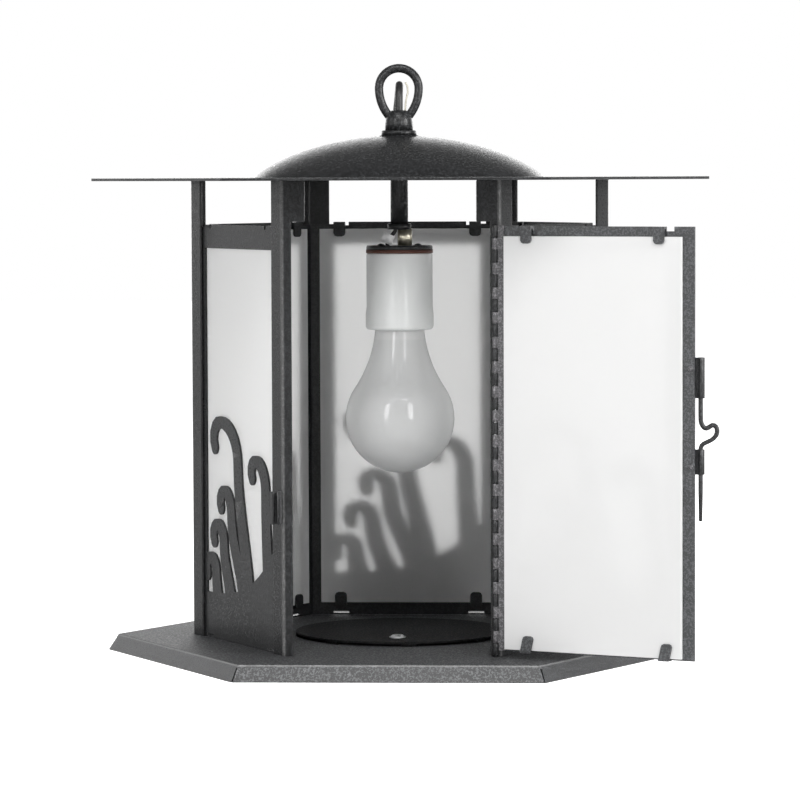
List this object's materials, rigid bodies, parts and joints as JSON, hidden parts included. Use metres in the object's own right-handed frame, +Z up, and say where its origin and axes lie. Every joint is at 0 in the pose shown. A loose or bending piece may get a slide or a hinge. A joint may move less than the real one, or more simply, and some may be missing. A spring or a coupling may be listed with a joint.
{
  "type": "pendant lantern",
  "caption": "Hexagonal sheet-steel pendant lantern with scroll fretwork panels, white diffusers, a hinged front door with drop latch, and a bulb in a porcelain socket.",
  "frame": {"origin": "centre of the base at the height of the skirt's lower edge", "axes": "+Z up along the stem to the hanging loop; the door side faces -Y; corner posts stand on the X axis"},
  "size_m": [0.3405, 0.2963, 0.323],
  "materials": {
    "steel": "textured charcoal powder coat",
    "hinge_steel": "textured grey coat",
    "zinc": "bright zinc",
    "diffuser": "white translucent acrylic",
    "door_diffuser": "white translucent acrylic",
    "brass": "worn",
    "black_flex": "satin",
    "tie": "matte",
    "tag": "matte",
    "fibre": "matte",
    "porcelain": "glazed porcelain",
    "bulb": "frosted glass",
    "ground_wire": "satin",
    "copper": "bare copper"
  },
  "bodies": {
    "lantern": {"roof_plate": "steel", "roof_dome": "steel", "loop_collar": "steel", "hanging_loop": "steel", "stem_pipe": "steel", "stem_locknut": "zinc", "stem_collar": "steel", "socket_nipple": "brass", "lead_wires": "black_flex", "wire_tag": "tag", "stem_flex": "black_flex", "socket_cap": "steel", "cap_rivets": "steel", "socket_washer": "fibre", "socket_body": "porcelain", "socket_shell": "brass", "socket_contact": "brass", "bulb": "bulb", "base_pan": "steel", "floor_cover": "steel", "cover_screw": "zinc", "post_front_left": "steel", "post_front_right": "steel", "post_right": "steel", "post_rear_right": "steel", "post_rear_left": "steel", "post_left": "steel", "panel_front_left": "steel", "panel_rear_left": "steel", "panel_rear": "steel", "panel_rear_right": "steel", "panel_front_right": "steel", "diffuser_front_left": "diffuser", "diffuser_rear_left": "diffuser", "diffuser_rear": "diffuser", "diffuser_rear_right": "diffuser", "diffuser_front_right": "diffuser", "hinge_leaf_post": "steel", "hinge_pin": "zinc", "latch_keeper": "steel", "ground_wire": "ground_wire", "supply_flex": "black_flex", "supply_coil": "black_flex", "coil_tie": "tie", "stripped_ends": "copper"},
    "door": {"door_panel": "steel", "door_diffuser": "door_diffuser", "hinge_leaf_door": "hinge_steel", "latch_guide_upper": "steel", "latch_guide_lower": "steel", "latch_screws": "hinge_steel"},
    "latch": {"latch_rod": "steel"}
  },
  "joints": [
    {"name": "door_hinge", "type": "hinge", "parent": "lantern", "child": "door", "pos_m": [0.0548, -0.10129, 0], "axis": [0, 0, 1], "range_deg": [-155.2, 15]},
    {"name": "latch_slide", "type": "slide", "parent": "door", "child": "latch", "axis": [0, 0, 1], "range_m": [0, 0.0119]}
  ]
}
